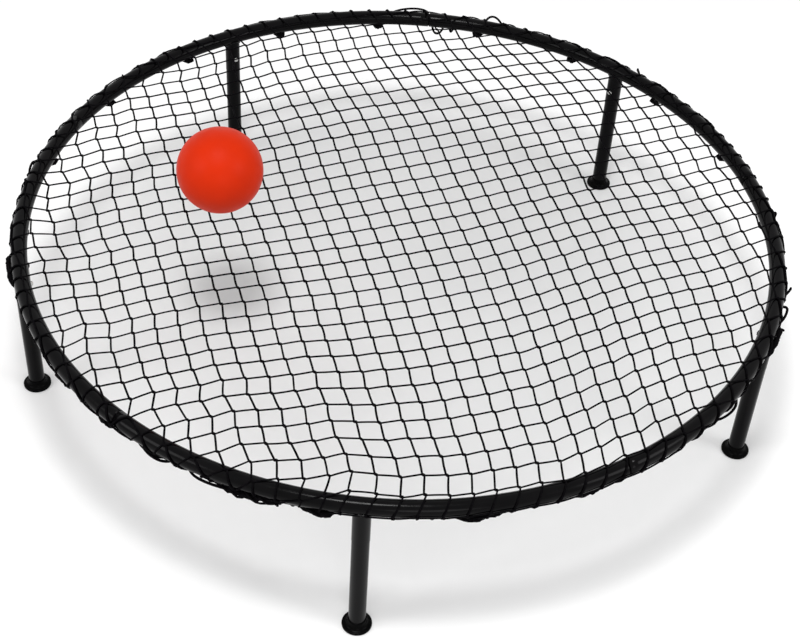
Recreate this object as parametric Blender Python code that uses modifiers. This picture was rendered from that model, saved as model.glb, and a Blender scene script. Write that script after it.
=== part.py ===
"""Roundnet set: a steel ring of five push-fit tubes on five plug-in legs, a knotted
net drawn over the ring to hooks under it, and the ball lying on the net.

Metres, +Z up. The origin is on the floor under the middle of the ring, and the
front leg stands at -Y.
"""

from math import atan2, cos, hypot, pi, radians, sin, sqrt

import bmesh
import bpy
from mathutils import Matrix, Vector

# Clearance between pieces that touch
FIT_GAP = 0.0003

# Ring: its sections end in a reduced tongue that plugs into the next section
RING_DIAMETER = 0.914
RING_TOP = 0.203
TUBE_DIAMETER = 0.019
TUBE_WALL = 0.0012
SECTION_COUNT = 5
FIRST_LEG_ANGLE = radians(-90)
STEPS_PER_HOOK = 3
TONGUE_STEPS = 1
TONGUE_TAPER = 0.002

# Legs: each plugs up into a stub under the middle of a section
LEG_DIAMETER = 0.019
SOCKET_DIAMETER = 0.0195
SOCKET_LENGTH = 0.042
LEG_TOP_CLEARANCE = 0.002

# Snap buttons, which face the middle of the ring
BUTTON_ABOVE_SOCKET_END = 0.020
BUTTON_DIAMETER = 0.006
BUTTON_PROUD = 0.0023
BUTTON_DOME = 0.0018
BUTTON_FLANGE_DIAMETER = 0.0084
BUTTON_FLANGE_THICKNESS = 0.001
SPRING_THICKNESS = 0.0005
SPRING_WIDTH = 0.005
SPRING_LENGTH = 0.034
SPRING_ABOVE_BUTTON = 0.006
SPRING_BEND_RADIUS = 0.0016

# Feet: round flanged caps over the leg ends
FOOT_DIAMETER = 0.033
FOOT_EDGE = 0.004
FOOT_HEIGHT = 0.0115
FOOT_FLOOR = 0.003
FOOT_NECK_WALL = 0.0014
FOOT_ROUNDING = 0.0012

# Hooks under the ring: tapered pegs whose tips turn towards the middle
HOOKS_PER_HALF_SECTION = 2
HOOK_BASE_DIAMETER = 0.010
HOOK_TIP_DIAMETER = 0.005
HOOK_DROP = 0.0095
HOOK_BEND_RADIUS = 0.0042
HOOK_BEND_ANGLE = radians(50)

# Net: every second strand of the real 25 mm mesh
NET_PITCH = 0.050
NET_TURN = radians(20)
TWINE_DIAMETER = 0.002
EDGE_LOOP_DIAMETER = 0.0026
NET_WRAP_ANGLE = radians(100)
NET_WRAP_BENDS = 2
LAST_STRAND_SHARE = 0.97

# Border cord: threaded through the net's edge and hung on the hooks
CORD_DIAMETER = 0.004
CORD_POINTS_PER_HOOK = 6
CORD_HOOK_DEPTH = 0.0022
CORD_DIP_SHAPE = 1.2

# Ball: a rubber shell with a plug valve
BALL_DIAMETER = 0.1015
BALL_WALL = 0.002
BALL_X = -0.2145
BALL_Y = -0.0115
VALVE_HOLE_DIAMETER = 0.006
VALVE_FLANGE_DIAMETER = 0.010
VALVE_LENGTH = 0.007
NEEDLE_BORE_DIAMETER = 0.0016
NEEDLE_BORE_DEPTH = 0.004

# Facets
TUBE_BEVEL_RESOLUTION = 4
TURNED_STEPS = 16
SMALL_TURNED_STEPS = 10
BALL_STEPS = 24
BEND_STEPS = 4
DOME_STEPS = 3
HOOK_BEND_STEPS = 2
MERGE_DISTANCE = 0.00001

# Sizes that follow from these
TUBE_RADIUS = TUBE_DIAMETER / 2
RING_RADIUS = RING_DIAMETER / 2 - TUBE_RADIUS
RING_HEIGHT = RING_TOP - TUBE_RADIUS
RING_BOTTOM = RING_HEIGHT - TUBE_RADIUS
SECTION_ANGLE = 2 * pi / SECTION_COUNT
HOOKS_PER_SECTION = 2 * HOOKS_PER_HALF_SECTION
HOOK_ANGLE = SECTION_ANGLE / HOOKS_PER_SECTION
STEP_ANGLE = HOOK_ANGLE / STEPS_PER_HOOK
SECTION_STEPS = STEPS_PER_HOOK * HOOKS_PER_SECTION
TONGUE_RADIUS = TUBE_RADIUS - TUBE_WALL - FIT_GAP

SOCKET_RADIUS = SOCKET_DIAMETER / 2
SOCKET_BORE = SOCKET_RADIUS - TUBE_WALL
SOCKET_TOP = RING_HEIGHT - sqrt(TUBE_RADIUS**2 - SOCKET_BORE**2)
SOCKET_END = RING_BOTTOM - SOCKET_LENGTH
LEG_RADIUS = LEG_DIAMETER / 2
LEG_BORE = LEG_RADIUS - TUBE_WALL
LEG_TONGUE_RADIUS = SOCKET_BORE - FIT_GAP
LEG_TONGUE_BORE = LEG_TONGUE_RADIUS - TUBE_WALL

HOOK_NECK_RADIUS = (HOOK_BASE_DIAMETER + 2 * HOOK_TIP_DIAMETER) / 6
FACET_SHARE = cos(pi / TURNED_STEPS)
BUTTON_HEIGHT = SOCKET_END + BUTTON_ABOVE_SOCKET_END
BUTTON_RADIUS = BUTTON_DIAMETER / 2
BUTTON_FLANGE_RADIUS = BUTTON_FLANGE_DIAMETER / 2
BUTTON_FLANGE_FRONT = (
    sqrt(LEG_TONGUE_BORE**2 - BUTTON_FLANGE_RADIUS**2) * FACET_SHARE - FIT_GAP
)
BUTTON_TIP = SOCKET_RADIUS + BUTTON_PROUD

TWINE_RADIUS = TWINE_DIAMETER / 2
EDGE_LOOP_RADIUS = EDGE_LOOP_DIAMETER / 2
WRAP_RADIUS = TUBE_RADIUS + FIT_GAP + EDGE_LOOP_RADIUS
NET_HEIGHT = RING_HEIGHT + WRAP_RADIUS
WRAP_CORNER = WRAP_RADIUS / cos(NET_WRAP_ANGLE / NET_WRAP_BENDS / 2)
CORD_RADIUS = CORD_DIAMETER / 2
BALL_RADIUS = BALL_DIAMETER / 2


# Scene and materials


def clear_scene():
    for old in list(bpy.data.objects):
        bpy.data.objects.remove(old)


def new_collection(name):
    collection = bpy.data.collections.new(name)
    bpy.context.scene.collection.children.link(collection)
    return collection


def new_material(name, colour, roughness, metallic=0.0):
    material = bpy.data.materials.new(name)
    material.use_nodes = True
    shader = material.node_tree.nodes["Principled BSDF"]
    shader.inputs["Base Color"].default_value = (*colour, 1)
    shader.inputs["Roughness"].default_value = roughness
    shader.inputs["Metallic"].default_value = metallic
    material.diffuse_color = (*colour, 1)
    return material


# Modelling helpers


def finished_mesh(draft, merge=MERGE_DISTANCE):
    """The mesh that a draft object's curve or modifiers make, with its doubles merged."""
    depsgraph = bpy.context.evaluated_depsgraph_get()
    mesh = bpy.data.meshes.new_from_object(draft.evaluated_get(depsgraph))
    mesh.transform(draft.matrix_world)
    bpy.data.objects.remove(draft)
    shape = bmesh.new()
    shape.from_mesh(mesh)
    bmesh.ops.remove_doubles(shape, verts=shape.verts, dist=merge)
    shape.to_mesh(mesh)
    shape.free()
    mesh.shade_smooth()
    mesh.set_sharp_from_angle(angle=radians(40))
    return mesh


def draft_object(name, data):
    draft = bpy.data.objects.new(name, data)
    cutters.objects.link(draft)
    draft.hide_render = True
    draft.display_type = "WIRE"
    return draft


def place(name, mesh, material, parent=None, location=(0, 0, 0), turn=0.0):
    own = mesh.copy()
    own.materials.append(material)
    piece = bpy.data.objects.new(name, own)
    piece.parent = parent
    piece.location = location
    piece.rotation_euler = (0, 0, turn)
    parts.objects.link(piece)
    return piece


def turned_mesh(name, profile, steps, closed=False):
    """A profile of (radius, height) points turned round Z."""
    outline = bpy.data.meshes.new(name)
    edges = [(i, i + 1) for i in range(len(profile) - 1)]
    if closed:
        edges.append((len(profile) - 1, 0))
    outline.from_pydata([(radius, 0, height) for radius, height in profile], edges, [])
    draft = draft_object(name, outline)
    screw = draft.modifiers.new("Turn", "SCREW")
    screw.steps = steps
    screw.render_steps = steps
    screw.use_merge_vertices = True
    screw.merge_threshold = MERGE_DISTANCE
    return finished_mesh(draft)


def curve_draft(
    name, points, depth, resolution, cyclic=False, radii=None, caps=True, upright=True
):
    """A round bar or tube along these points; an upright one keeps its facets level."""
    curve = bpy.data.curves.new(name, "CURVE")
    curve.dimensions = "3D"
    curve.bevel_depth = depth
    curve.bevel_resolution = resolution
    curve.twist_mode = "Z_UP" if upright else "MINIMUM"
    curve.use_fill_caps = caps and not cyclic
    spline = curve.splines.new("POLY")
    spline.points.add(len(points) - 1)
    for i, point in enumerate(points):
        spline.points[i].co = (*point, 1)
        spline.points[i].radius = radii[i] / depth if radii else 1
    spline.use_cyclic_u = cyclic
    return draft_object(name, curve)


def combined_mesh(base, operation, tools):
    """The base mesh cut by, or joined with, each of the tool objects."""
    draft = draft_object("combined", base)
    for tool in tools:
        step = draft.modifiers.new(operation.title(), "BOOLEAN")
        step.operation = operation
        step.solver = "EXACT"
        step.object = tool
    return finished_mesh(draft, merge=0)


def on_ring(angle, offset=0.0, height=0.0):
    """A point at this angle, offset outwards and upwards from the ring's centreline."""
    radius = RING_RADIUS + offset
    return Vector((radius * cos(angle), radius * sin(angle), RING_HEIGHT + height))


def round_the_tube(angle, radius, wrap):
    """A point at a wrap angle round the tube: 0 on its top, 90 degrees outside."""
    return on_ring(angle, radius * sin(wrap), radius * cos(wrap))


# Ring sections


def section_route():
    """The arc of one section with its leg at angle 0, as (angle, tube radius)."""
    half = SECTION_ANGLE / 2
    gap = FIT_GAP / RING_RADIUS
    taper = TONGUE_TAPER / RING_RADIUS
    route = [(-half + i * STEP_ANGLE, TUBE_RADIUS) for i in range(SECTION_STEPS)]
    route.append((half - gap - taper, TUBE_RADIUS))
    route.append((half - gap, TONGUE_RADIUS))
    route.append((half + TONGUE_STEPS * STEP_ANGLE, TONGUE_RADIUS))
    return route


def rim_tube_mesh():
    route = section_route()
    points = [on_ring(angle) for angle, _ in route]
    radii = [radius for _, radius in route]
    skin = finished_mesh(
        curve_draft("rim_skin", points, TUBE_RADIUS, TUBE_BEVEL_RESOLUTION, radii=radii, caps=False)
    )
    draft = draft_object("rim_tube", skin)
    wall = draft.modifiers.new("Wall", "SOLIDIFY")
    wall.thickness = TUBE_WALL
    wall.offset = -1
    wall.use_even_offset = True
    return finished_mesh(draft)


def ring_cutter():
    """The whole ring, larger by the clearance, which notches what is fixed under it."""
    count = SECTION_COUNT * SECTION_STEPS
    points = [on_ring(SECTION_ANGLE / 2 + i * STEP_ANGLE) for i in range(count)]
    depth = TUBE_RADIUS + FIT_GAP
    mesh = finished_mesh(
        curve_draft("ring_cutter", points, depth, TUBE_BEVEL_RESOLUTION, cyclic=True)
    )
    return draft_object("ring_cutter", mesh)


# Legs, in a frame whose Z axis is the leg's and whose +X points away from the middle


def leg_socket_mesh(cutter, hole):
    profile = [
        (SOCKET_RADIUS, SOCKET_TOP),
        (SOCKET_RADIUS, SOCKET_END),
        (SOCKET_BORE, SOCKET_END),
        (SOCKET_BORE, SOCKET_TOP),
    ]
    tube = turned_mesh("socket_tube", profile, TURNED_STEPS, closed=True)
    tube.transform(Matrix.Translation((RING_RADIUS, 0, 0)))
    notched = combined_mesh(tube, "DIFFERENCE", [cutter])
    notched.transform(Matrix.Translation((-RING_RADIUS, 0, 0)))
    return combined_mesh(notched, "DIFFERENCE", [hole])


def leg_tube_mesh(hole):
    foot_end = FOOT_FLOOR + FIT_GAP
    top = RING_BOTTOM - LEG_TOP_CLEARANCE
    shoulder = SOCKET_END - FIT_GAP
    profile = [
        (LEG_TONGUE_RADIUS, top),
        (LEG_TONGUE_RADIUS, shoulder),
        (LEG_RADIUS, shoulder - TONGUE_TAPER),
        (LEG_RADIUS, foot_end),
        (LEG_BORE, foot_end),
        (LEG_BORE, shoulder - TONGUE_TAPER),
        (LEG_TONGUE_BORE, shoulder),
        (LEG_TONGUE_BORE, top),
    ]
    tube = turned_mesh("leg_tube", profile, TURNED_STEPS, closed=True)
    return combined_mesh(tube, "DIFFERENCE", [hole])


def button_hole():
    """The round hole that a snap button needs through the leg and its socket."""
    depth = 2 * SOCKET_RADIUS
    radius = BUTTON_RADIUS + FIT_GAP
    profile = [(0, depth), (radius, depth), (radius, 0), (0, 0)]
    mesh = turned_mesh("button_hole", profile, SMALL_TURNED_STEPS)
    mesh.transform(Matrix.Rotation(radians(-90), 4, "Y"))
    mesh.transform(Matrix.Translation((0, 0, BUTTON_HEIGHT)))
    return draft_object("button_hole", mesh)


def leg_button_mesh():
    """A flanged pin with a domed end along -X, its own origin on the leg's axis."""
    profile = []
    for i in range(DOME_STEPS + 1):
        turn = i * pi / 2 / DOME_STEPS
        profile.append((BUTTON_RADIUS * sin(turn), BUTTON_TIP - BUTTON_DOME * (1 - cos(turn))))
    profile += [
        (BUTTON_RADIUS, BUTTON_FLANGE_FRONT),
        (BUTTON_FLANGE_RADIUS, BUTTON_FLANGE_FRONT),
        (BUTTON_FLANGE_RADIUS, BUTTON_FLANGE_FRONT - BUTTON_FLANGE_THICKNESS),
        (0, BUTTON_FLANGE_FRONT - BUTTON_FLANGE_THICKNESS),
    ]
    mesh = turned_mesh("leg_button", profile, SMALL_TURNED_STEPS)
    mesh.transform(Matrix.Rotation(radians(-90), 4, "Y"))
    return mesh


def button_spring_mesh():
    """A V of flat spring steel: one leaf behind the button, one on the far wall."""
    half_width = SPRING_WIDTH / 2
    near = BUTTON_FLANGE_FRONT - BUTTON_FLANGE_THICKNESS - FIT_GAP - SPRING_THICKNESS / 2
    wall = sqrt(LEG_TONGUE_BORE**2 - half_width**2) * FACET_SHARE
    far = wall - FIT_GAP - SPRING_THICKNESS / 2
    top = SPRING_ABOVE_BUTTON
    bend_height = top - SPRING_LENGTH
    line = [(-near, top), (-near, -BUTTON_FLANGE_RADIUS)]
    for i in range(BEND_STEPS + 1):
        turn = pi + i * pi / BEND_STEPS
        line.append(
            (SPRING_BEND_RADIUS * cos(turn), bend_height + SPRING_BEND_RADIUS * sin(turn))
        )
    line += [(far, -BUTTON_FLANGE_RADIUS), (far, top)]
    strip = bpy.data.meshes.new("button_spring")
    shape = bmesh.new()
    verts = [shape.verts.new((x, -half_width, z)) for x, z in line]
    edges = [shape.edges.new(pair) for pair in zip(verts, verts[1:])]
    extruded = bmesh.ops.extrude_edge_only(shape, edges=edges)["geom"]
    moved = [item for item in extruded if isinstance(item, bmesh.types.BMVert)]
    bmesh.ops.translate(shape, verts=moved, vec=(0, SPRING_WIDTH, 0))
    shape.to_mesh(strip)
    shape.free()
    draft = draft_object("button_spring", strip)
    leaf = draft.modifiers.new("Leaf", "SOLIDIFY")
    leaf.thickness = SPRING_THICKNESS
    leaf.offset = 0
    return finished_mesh(draft)


def foot_mesh():
    """A cap with a bore for the leg's end and a round flange on the floor."""
    bore = LEG_RADIUS + FIT_GAP
    neck = bore + FOOT_NECK_WALL
    edge = FOOT_DIAMETER / 2
    inner_edge = edge - FOOT_ROUNDING
    shoulder = FOOT_HEIGHT - FOOT_NECK_WALL / 2
    profile = [
        (0, FOOT_FLOOR),
        (bore, FOOT_FLOOR),
        (bore, FOOT_HEIGHT),
        (bore + FOOT_NECK_WALL / 2, FOOT_HEIGHT),
    ]
    for i in range(DOME_STEPS + 1):
        turn = i * pi / 2 / DOME_STEPS
        radius = neck + (inner_edge - neck) * (1 - cos(turn))
        profile.append((radius, FOOT_EDGE + (shoulder - FOOT_EDGE) * (1 - sin(turn))))
    profile += [
        (edge, FOOT_EDGE - FOOT_ROUNDING),
        (edge, FOOT_ROUNDING),
        (inner_edge, 0),
        (0, 0),
    ]
    return turned_mesh("foot", profile, TURNED_STEPS)


def add_legs(colours):
    cutter = ring_cutter()
    hole = button_hole()
    socket = leg_socket_mesh(cutter, hole)
    tube = leg_tube_mesh(hole)
    button = leg_button_mesh()
    spring = button_spring_mesh()
    foot = foot_mesh()
    for i in range(SECTION_COUNT):
        number = i + 1
        angle = FIRST_LEG_ANGLE + i * SECTION_ANGLE
        stand = bpy.data.objects.new(f"leg_place_{number}", None)
        stand.location = (RING_RADIUS * cos(angle), RING_RADIUS * sin(angle), 0)
        stand.rotation_euler = (0, 0, angle)
        parts.objects.link(stand)
        at_button = (0, 0, BUTTON_HEIGHT)
        place(f"leg_socket_{number}", socket, colours["coat"], stand)
        place(f"leg_tube_{number}", tube, colours["coat"], stand)
        place(f"leg_button_{number}", button, colours["steel"], stand, at_button)
        place(f"button_spring_{number}", spring, colours["steel"], stand, at_button)
        place(f"foot_{number}", foot, colours["foot"], stand)
    return cutter


def add_rim(colours):
    mesh = rim_tube_mesh()
    for i in range(SECTION_COUNT):
        turn = FIRST_LEG_ANGLE + i * SECTION_ANGLE
        place(f"rim_tube_{i + 1}", mesh, colours["coat"], turn=turn)


# Hooks, modelled at angle 0 and turned round the ring


def hook_mesh(cutter):
    base = HOOK_BASE_DIAMETER / 2
    tip = HOOK_TIP_DIAMETER / 2
    bend_height = -TUBE_RADIUS - HOOK_DROP + tip + HOOK_BEND_RADIUS
    line = [(0, -TUBE_RADIUS / 2, base), (0, bend_height, HOOK_NECK_RADIUS)]
    for i in range(HOOK_BEND_STEPS):
        turn = HOOK_BEND_ANGLE * (i + 1) / HOOK_BEND_STEPS
        inwards = -HOOK_BEND_RADIUS * (1 - cos(turn))
        line.append((inwards, bend_height - HOOK_BEND_RADIUS * sin(turn), tip))
    points = [on_ring(0, offset, height) for offset, height, _ in line]
    radii = [radius for _, _, radius in line]
    peg = finished_mesh(curve_draft("hook_peg", points, base, 1, radii=radii, upright=False))
    return combined_mesh(peg, "DIFFERENCE", [cutter])


def hook_angles():
    """The hooks' angles: evenly spaced, with each leg midway between two hooks."""
    first = FIRST_LEG_ANGLE + HOOK_ANGLE / 2
    return [first + i * HOOK_ANGLE for i in range(SECTION_COUNT * HOOKS_PER_SECTION)]


def add_hooks(cutter, colours):
    mesh = hook_mesh(cutter)
    for i, angle in enumerate(hook_angles()):
        place(f"net_hook_{i + 1}", mesh, colours["coat"], turn=angle)


# Net


def wrap_corners():
    """The net's edge in section, as wrap angles and reaches from the tube's centre."""
    step = NET_WRAP_ANGLE / NET_WRAP_BENDS
    corners = [((i + 0.5) * step, WRAP_CORNER) for i in range(NET_WRAP_BENDS)]
    return corners + [(NET_WRAP_ANGLE, WRAP_RADIUS)]


def strand_offsets():
    most = int(LAST_STRAND_SHARE * RING_RADIUS / NET_PITCH - 0.5)
    return [(i + 0.5) * NET_PITCH for i in range(-most - 1, most + 1)]


def strand_ends(offset, turn):
    """The two points where a strand's straight run meets the outside of the tube's top."""
    first_wrap, first_reach = wrap_corners()[0]
    edge = RING_RADIUS + first_reach * sin(first_wrap)
    half = sqrt(edge**2 - offset**2)
    ends = []
    for along in (-half, half):
        x = along * cos(turn) - offset * sin(turn)
        y = along * sin(turn) + offset * cos(turn)
        ends.append(Vector((x, y, NET_HEIGHT)))
    return ends


def edge_loop_points(rim):
    """The doubled twine of one strand's end, drawn straight down over the tube."""
    angle = atan2(rim.y, rim.x)
    start = round_the_tube(angle, WRAP_RADIUS, 0)
    return [start] + [round_the_tube(angle, reach, wrap) for wrap, reach in wrap_corners()]


def net_pieces():
    """Every strand and edge loop of the net as an object of its own."""
    pieces = []
    for turn in (NET_TURN, NET_TURN + pi / 2):
        for offset in strand_offsets():
            ends = strand_ends(offset, turn)
            pieces.append(curve_draft("strand", ends, TWINE_RADIUS, 0))
            for rim in ends:
                points = edge_loop_points(rim)
                loop = curve_draft("edge_loop", points, EDGE_LOOP_RADIUS, 0, upright=False)
                pieces.append(loop)
    return [draft_object("net_piece", finished_mesh(piece)) for piece in pieces]


def net_mesh():
    """All strands of both directions joined where they cross."""
    pieces = net_pieces()
    group = new_collection("net_strands")
    for piece in pieces[1:]:
        group.objects.link(piece)
    draft = draft_object("net", pieces[0].data.copy())
    knots = draft.modifiers.new("Knots", "BOOLEAN")
    knots.operation = "UNION"
    knots.solver = "EXACT"
    knots.operand_type = "COLLECTION"
    knots.collection = group
    return finished_mesh(draft, merge=0)


# Border cord


def hook_radius_at_cord():
    """The peg's radius at the height where the cord lies against it."""
    straight = HOOK_DROP - HOOK_TIP_DIAMETER / 2 - HOOK_BEND_RADIUS + TUBE_RADIUS / 2
    share = (CORD_HOOK_DEPTH + TUBE_RADIUS / 2) / straight
    return HOOK_BASE_DIAMETER / 2 + (HOOK_NECK_RADIUS - HOOK_BASE_DIAMETER / 2) * share


def cord_points():
    """The cord lies inside each hook and bows out between them, round the leg sockets."""
    hook_offset = -hook_radius_at_cord() - FIT_GAP - CORD_RADIUS
    hook_height = -TUBE_RADIUS - CORD_HOOK_DEPTH
    free_offset = SOCKET_RADIUS + FIT_GAP + CORD_RADIUS
    loop_end = (WRAP_RADIUS + EDGE_LOOP_RADIUS) * cos(NET_WRAP_ANGLE)
    free_height = loop_end - FIT_GAP - CORD_RADIUS
    hook_reach = hypot(hook_offset, hook_height)
    hook_wrap = 2 * pi + atan2(hook_offset, hook_height)
    free_reach = hypot(free_offset, free_height)
    free_wrap = atan2(free_offset, free_height)
    points = []
    for i in range(SECTION_COUNT * HOOKS_PER_SECTION * CORD_POINTS_PER_HOOK):
        free = abs(sin(pi * i / CORD_POINTS_PER_HOOK)) ** CORD_DIP_SHAPE
        angle = hook_angles()[0] + i * HOOK_ANGLE / CORD_POINTS_PER_HOOK
        wrap = hook_wrap + (free_wrap - hook_wrap) * free
        reach = hook_reach + (free_reach - hook_reach) * free
        points.append(round_the_tube(angle, reach, wrap))
    return points


def add_net(colours):
    place("net", net_mesh(), colours["twine"])
    cord = finished_mesh(curve_draft("cord", cord_points(), CORD_RADIUS, 1, cyclic=True))
    place("border_cord", cord, colours["twine"])


# Ball, turned round Z and laid with its valve towards +Y


def arc_profile(radius, first, last, count):
    """Points of (radius, height) from one angle off the pole to another."""
    angles = [first + (last - first) * i / (count - 1) for i in range(count)]
    return [(radius * sin(angle), radius * cos(angle)) for angle in angles]


def ball_mesh():
    """A hollow rubber ball, open only at its valve hole."""
    hole = VALVE_HOLE_DIAMETER / 2
    inner = BALL_RADIUS - BALL_WALL
    rows = BALL_STEPS // 2 + 1
    outside = arc_profile(BALL_RADIUS, 0, pi, rows)
    inside = arc_profile(inner, pi, 0, rows)
    outside[0] = (hole, sqrt(BALL_RADIUS**2 - hole**2))
    inside[-1] = (hole, sqrt(inner**2 - hole**2))
    outside[-1] = (0, -BALL_RADIUS)
    inside[0] = (0, -inner)
    rim = [outside[0]]
    return turned_mesh("ball", outside + inside + rim, BALL_STEPS)


def valve_mesh():
    """A rubber plug with a needle bore, held by a flange inside the shell."""
    needle = NEEDLE_BORE_DIAMETER / 2
    stem = VALVE_HOLE_DIAMETER / 2 - FIT_GAP
    flange = VALVE_FLANGE_DIAMETER / 2
    top = sqrt(BALL_RADIUS**2 - (VALVE_HOLE_DIAMETER / 2) ** 2)
    inner = BALL_RADIUS - BALL_WALL
    seat = sqrt(inner**2 - flange**2) * cos(pi / BALL_STEPS) - FIT_GAP
    bottom = top - VALVE_LENGTH
    profile = [
        (0, top - NEEDLE_BORE_DEPTH),
        (needle, top - NEEDLE_BORE_DEPTH),
        (needle, top),
        (stem, top),
        (stem, seat),
        (flange, seat),
        (flange, bottom),
        (0, bottom),
    ]
    return turned_mesh("ball_valve", profile, SMALL_TURNED_STEPS)


def ball_height():
    """The centre's height with the ball resting on the strand that passes nearest it."""
    along = BALL_X * cos(NET_TURN) + BALL_Y * sin(NET_TURN)
    across = BALL_Y * cos(NET_TURN) - BALL_X * sin(NET_TURN)
    nearest = min(abs(value / NET_PITCH % 1 - 0.5) for value in (along, across)) * NET_PITCH
    reach = BALL_RADIUS + FIT_GAP + TWINE_RADIUS
    return NET_HEIGHT + sqrt(reach**2 - nearest**2)


def add_ball(colours):
    centre = bpy.data.objects.new("ball_place", None)
    centre.location = (BALL_X, BALL_Y, ball_height())
    centre.rotation_euler = (radians(-90), 0, 0)
    parts.objects.link(centre)
    place("ball", ball_mesh(), colours["ball"], centre)
    place("ball_valve", valve_mesh(), colours["valve"], centre)


clear_scene()
parts = new_collection("roundnet")
cutters = new_collection("cutters")
finishes = {
    "coat": new_material("black_powder_coat", (0.012, 0.012, 0.014), 0.42, 0.2),
    "steel": new_material("spring_steel", (0.55, 0.55, 0.54), 0.28, 1.0),
    "foot": new_material("black_rubber", (0.010, 0.010, 0.010), 0.35),
    "twine": new_material("black_nylon_twine", (0.008, 0.008, 0.009), 0.7),
    "ball": new_material("orange_rubber", (0.73, 0.035, 0.005), 0.45),
    "valve": new_material("dark_rubber", (0.02, 0.02, 0.02), 0.6),
}
add_rim(finishes)
ring = add_legs(finishes)
add_hooks(ring, finishes)
add_net(finishes)
add_ball(finishes)
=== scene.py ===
"""Looks of a roundnet set: a black steel ring on five plug-in legs, a knotted net drawn over the
ring and hooked on from below, and the orange ball lying on the net. Metres, +Z up, radians."""

import random
from math import atan2, cos, exp, floor, hypot, pi, radians, sin, sqrt

import bpy
from mathutils import Matrix, Vector


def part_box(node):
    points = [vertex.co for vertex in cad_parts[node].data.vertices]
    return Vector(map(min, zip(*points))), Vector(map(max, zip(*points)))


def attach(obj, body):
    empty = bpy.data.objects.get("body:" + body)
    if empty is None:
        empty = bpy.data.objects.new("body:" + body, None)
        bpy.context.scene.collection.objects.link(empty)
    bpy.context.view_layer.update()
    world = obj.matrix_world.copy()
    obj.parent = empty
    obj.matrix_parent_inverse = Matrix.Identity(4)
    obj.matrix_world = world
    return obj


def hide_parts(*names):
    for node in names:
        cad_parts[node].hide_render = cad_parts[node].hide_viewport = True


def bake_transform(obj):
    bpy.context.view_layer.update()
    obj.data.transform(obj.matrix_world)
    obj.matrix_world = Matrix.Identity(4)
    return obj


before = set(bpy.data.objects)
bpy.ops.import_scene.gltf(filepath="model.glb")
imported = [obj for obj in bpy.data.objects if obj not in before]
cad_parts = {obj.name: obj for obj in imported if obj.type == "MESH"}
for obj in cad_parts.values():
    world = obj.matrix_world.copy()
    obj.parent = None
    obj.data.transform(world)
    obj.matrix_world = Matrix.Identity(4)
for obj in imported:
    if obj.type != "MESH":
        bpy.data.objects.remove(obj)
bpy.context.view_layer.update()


# Camera: it stands in front of the set, a little to the right of the front leg, and looks down
# on the net at about 43 degrees, for a picture 800 pixels wide and 644 high.
PHOTO_WIDTH = 800
FOCAL_PIXELS = 1601
CAMERA_PLACE = (0.0704, -1.4813, 1.4105)
CAMERA_TILT = 0.8187
CAMERA_ROLL = -0.0682
CAMERA_HEADING = 0.1364

bpy.ops.object.camera_add(location=CAMERA_PLACE)
camera = bpy.context.object
camera.rotation_mode = "YXZ"
camera.rotation_euler = (CAMERA_TILT, CAMERA_ROLL, CAMERA_HEADING)
camera.data.lens = FOCAL_PIXELS * camera.data.sensor_width / PHOTO_WIDTH
bpy.context.scene.camera = camera


# Ring tubes: five curved steel tubes, 19 mm across, with black powder coat. One end of each is
# swaged down and pushed into the next tube, which leaves a fine seam midway between two legs.
RING_RADIUS = 0.4475
RING_HEIGHT = 0.1935
TUBE_RADIUS = 0.0095
TUBE_WALL = 0.0012
SWAGE_LENGTH = 0.0016
SWAGED_SHARE = 0.84
TONGUE_LENGTH = 0.045
SEAM_GAP = 0.0003
TUBE_SIDES = 36
TUBE_BENDS = 48
TONGUE_BENDS = 4
TUBE_COUNT = 5
SECTION_ANGLE = 2 * pi / TUBE_COUNT
LEG_ANGLES = [radians(-90) + i * SECTION_ANGLE for i in range(TUBE_COUNT)]
COAT_DARK = (0.0008, 0.0007, 0.0010, 1)
COAT_WORN = (0.0022, 0.0019, 0.0023, 1)
PATCH_EDGES = (0.35, 0.65)
MERGE_DISTANCE = 0.00001
SMOOTHING = radians(40)


def add_node(finish, kind, **values):
    """A node in the finish's tree, with these values on its inputs."""
    made = finish.node_tree.nodes.new(kind)
    for name, value in values.items():
        made.inputs[name.replace("_", " ")].default_value = value
    return made


def new_finish(name, roughness, specular, metallic=0.0):
    """A plain shader, and the object coordinates that its patterns are read at."""
    finish = bpy.data.materials.new(name)
    finish.use_nodes = True
    shader = finish.node_tree.nodes["Principled BSDF"]
    shader.inputs["Roughness"].default_value = roughness
    shader.inputs["Specular IOR Level"].default_value = specular
    shader.inputs["Metallic"].default_value = metallic
    place = finish.node_tree.nodes.new("ShaderNodeTexCoord").outputs["Object"]
    return finish, shader, place


def mottle(finish, place, target, low, high, scale, detail=3.0):
    """Lets a colour, or a value, wander between low and high in soft patches."""
    links = finish.node_tree.links
    patches = add_node(finish, "ShaderNodeTexNoise", Scale=scale, Detail=detail)
    links.new(place, patches.inputs["Vector"])
    ramp = finish.node_tree.nodes.new("ShaderNodeValToRGB")
    for element, edge, value in zip(ramp.color_ramp.elements, PATCH_EDGES, (low, high)):
        element.position = edge
        element.color = value if isinstance(value, tuple) else (value, value, value, 1)
    links.new(patches.outputs["Fac"], ramp.inputs["Fac"])
    links.new(ramp.outputs["Color"], target)


def grain(finish, place, shader, scale, depth, detail=2.0):
    """Raises the surface in fine grain of this depth."""
    links = finish.node_tree.links
    bumps = add_node(finish, "ShaderNodeTexNoise", Scale=scale, Detail=detail)
    links.new(place, bumps.inputs["Vector"])
    relief = add_node(finish, "ShaderNodeBump", Strength=1.0, Distance=depth)
    links.new(bumps.outputs["Fac"], relief.inputs["Height"])
    links.new(relief.outputs["Normal"], shader.inputs["Normal"])


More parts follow.
